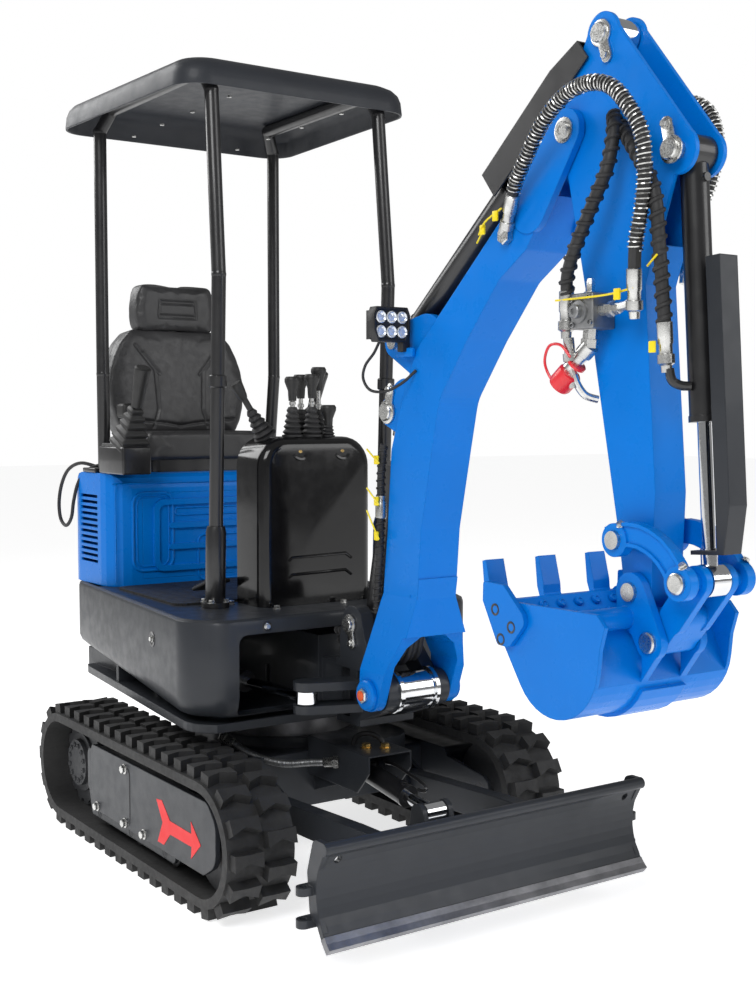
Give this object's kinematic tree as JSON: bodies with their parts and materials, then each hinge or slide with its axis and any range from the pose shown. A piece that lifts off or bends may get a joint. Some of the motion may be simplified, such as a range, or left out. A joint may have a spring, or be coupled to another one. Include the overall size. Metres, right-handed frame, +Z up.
{
  "type": "mini excavator",
  "caption": "Compact rubber-tracked excavator with a swinging boom, arm and toothed bucket, front dozer blade, open operator's station and four-post canopy.",
  "frame": {"origin": "bottom centre of the machine's bounding box, on the ground between the tracks", "axes": "+X to the front, towards the blade, +Y to the operator's left, +Z up"},
  "size_m": [2.4216, 1.016, 2.15],
  "materials": {
    "blue_paint": "gloss enamel",
    "grey_paint": "satin enamel",
    "worn_steel": "ground steel",
    "cast_iron": "painted casting",
    "track_rubber": "moulded",
    "mat_rubber": "studded",
    "zinc_pins": "zinc plated",
    "black_paint": "semi gloss",
    "chrome_rod": "hard chrome",
    "black_vinyl": "grained vinyl",
    "black_plastic": "moulded",
    "gloss_console": "polished",
    "valve_steel": "bead blasted"
  },
  "bodies": {
    "undercarriage": {"car_body": "grey_paint", "slew_ring": "worn_steel", "track_frame_right": "grey_paint", "track_frame_left": "grey_paint", "track_right": "track_rubber", "track_left": "track_rubber", "wheels_right": "cast_iron", "wheels_left": "cast_iron", "frame_pins": "zinc_pins", "blade_cylinder_cover": "grey_paint"},
    "blade": {"blade": "grey_paint", "cutting_edge": "worn_steel"},
    "blade_barrel": {"blade_cylinder": "black_paint"},
    "blade_piston": {"blade_rod": "chrome_rod"},
    "house": {"turntable": "grey_paint", "skirt": "grey_paint", "counterweight": "grey_paint", "deck": "grey_paint", "floor_mat": "mat_rubber", "hood": "blue_paint", "hood_front": "blue_paint", "engine": "cast_iron", "seat_base": "black_paint", "seat_cushion": "black_vinyl", "seat_back": "black_vinyl", "headrest": "black_vinyl", "joystick_pods": "black_plastic", "joysticks": "black_plastic", "console": "gloss_console", "console_levers": "black_plastic", "canopy_roof": "grey_paint", "canopy_frame": "black_paint", "house_pins": "zinc_pins"},
    "swing_barrel": {"swing_cylinder": "black_paint"},
    "swing_piston": {"swing_rod": "chrome_rod"},
    "bracket": {"swing_bracket": "grey_paint", "bracket_pins": "zinc_pins"},
    "boom_barrel": {"boom_cylinder": "black_paint"},
    "boom_piston": {"boom_rod": "chrome_rod"},
    "boom": {"boom": "blue_paint", "boom_pins": "zinc_pins", "work_lamp": "black_plastic"},
    "arm_barrel": {"arm_cylinder": "black_paint"},
    "arm_piston": {"arm_rod": "chrome_rod", "arm_rod_guard": "black_paint"},
    "arm": {"arm": "blue_paint", "arm_pins": "zinc_pins", "valve_block": "valve_steel"},
    "bucket_barrel": {"bucket_cylinder": "black_paint"},
    "bucket_piston": {"bucket_rod": "chrome_rod", "bucket_rod_guard": "grey_paint"},
    "rocker": {"rocker": "blue_paint"},
    "link": {"bucket_link": "blue_paint"},
    "bucket": {"bucket": "blue_paint", "bucket_teeth": "blue_paint"}
  },
  "joints": [
    {"name": "slew", "type": "hinge", "parent": "undercarriage", "child": "house", "pos_m": [-0.42585, 0, 0.4], "axis": [0, 0, 1], "continuous": true},
    {"name": "blade_lift", "type": "hinge", "parent": "undercarriage", "child": "blade", "pos_m": [-0.12585, 0, 0.19], "axis": [0, -1, 0], "range_deg": [-19, 10]},
    {"name": "boom_swing", "type": "hinge", "parent": "house", "child": "bracket", "pos_m": [-0.02585, 0, 0.5], "axis": [0, 0, 1], "range_deg": [-50, 50]},
    {"name": "boom_lift", "type": "hinge", "parent": "bracket", "child": "boom", "pos_m": [0.17915, 0, 0.523], "axis": [0, -1, 0], "range_deg": [-94, 6]},
    {"name": "arm_crowd", "type": "hinge", "parent": "boom", "child": "arm", "pos_m": [0.79915, 0, 1.777], "axis": [0, 1, 0], "range_deg": [-106, 8]},
    {"name": "bucket_curl", "type": "hinge", "parent": "arm", "child": "bucket", "pos_m": [1.00069, 0, 0.85882], "axis": [0, 1, 0], "range_deg": [-120, 15]},
    {"name": "blade_barrel_tilt", "type": "hinge", "parent": "undercarriage", "child": "blade_barrel", "pos_m": [-0.02585, 0, 0.28], "axis": [0, -1, 0], "range_deg": [-25.4, 14.3]},
    {"name": "blade_rod_slide", "type": "slide", "parent": "blade_barrel", "child": "blade_piston", "axis": [0.99, 0, -0.141], "range_m": [-0.0235, 0.0411]},
    {"name": "boom_barrel_tilt", "type": "hinge", "parent": "bracket", "child": "boom_barrel", "pos_m": [0.03915, 0, 0.675], "axis": [0, -1, 0], "range_deg": [-91.7, 7.7]},
    {"name": "boom_rod_slide", "type": "slide", "parent": "boom_barrel", "child": "boom_piston", "axis": [0.215, 0, 0.9766], "range_m": [-0.023, 0.3019]},
    {"name": "arm_barrel_tilt", "type": "hinge", "parent": "boom", "child": "arm_barrel", "pos_m": [0.17915, 0, 1.38], "axis": [0, -1, 0], "range_deg": [-2.9, 13.4]},
    {"name": "arm_rod_slide", "type": "slide", "parent": "arm_barrel", "child": "arm_piston", "axis": [0.7771, 0, 0.6293], "range_m": [-0.2884, 0.0255]},
    {"name": "bucket_barrel_tilt", "type": "hinge", "parent": "arm", "child": "bucket_barrel", "pos_m": [1.09078, 0, 1.69214], "axis": [0, -1, 0], "range_deg": [-3, 2.1]},
    {"name": "bucket_rod_slide", "type": "slide", "parent": "bucket_barrel", "child": "bucket_piston", "axis": [0.0698, 0, -0.9976], "range_m": [-0.2281, 0.032]},
    {"name": "swing_barrel_tilt", "type": "hinge", "parent": "house", "child": "swing_barrel", "pos_m": [-0.67585, -0.28, 0.5], "axis": [0, 0, 1], "range_deg": [-2.6, 2.6]},
    {"name": "swing_rod_slide", "type": "slide", "parent": "swing_barrel", "child": "swing_piston", "axis": [0.9934, 0.1144, 0], "range_m": [-0.1689, 0.1689]},
    {"name": "rocker_turn", "type": "hinge", "parent": "arm", "child": "rocker", "pos_m": [0.9816, 0, 0.95974], "axis": [0, -1, 0], "range_deg": [-11.5, 78.2]},
    {"name": "link_turn", "type": "hinge", "parent": "rocker", "child": "link", "pos_m": [1.1468, 0, 0.89109], "axis": [0, -1, 0], "range_deg": [-45.6, 7.4]}
  ],
  "couplings": [
    {"joint": "blade_barrel_tilt", "follows": "blade_lift", "ratio": 1.23},
    {"joint": "blade_rod_slide", "follows": "blade_lift", "m_per_rad": -0.112},
    {"joint": "boom_barrel_tilt", "follows": "boom_lift", "ratio": 0.9545},
    {"joint": "boom_rod_slide", "follows": "boom_lift", "m_per_rad": -0.1816},
    {"joint": "arm_barrel_tilt", "follows": "arm_crowd", "ratio": -0.1077},
    {"joint": "arm_rod_slide", "follows": "arm_crowd", "m_per_rad": 0.1537},
    {"joint": "bucket_barrel_tilt", "follows": "bucket_curl", "ratio": 0.008},
    {"joint": "bucket_rod_slide", "follows": "bucket_curl", "m_per_rad": 0.107},
    {"joint": "swing_barrel_tilt", "follows": "boom_swing", "ratio": 0.012},
    {"joint": "swing_rod_slide", "follows": "boom_swing", "m_per_rad": 0.189},
    {"joint": "rocker_turn", "follows": "bucket_curl", "ratio": -0.635},
    {"joint": "link_turn", "follows": "bucket_curl", "ratio": 0.363}
  ]
}
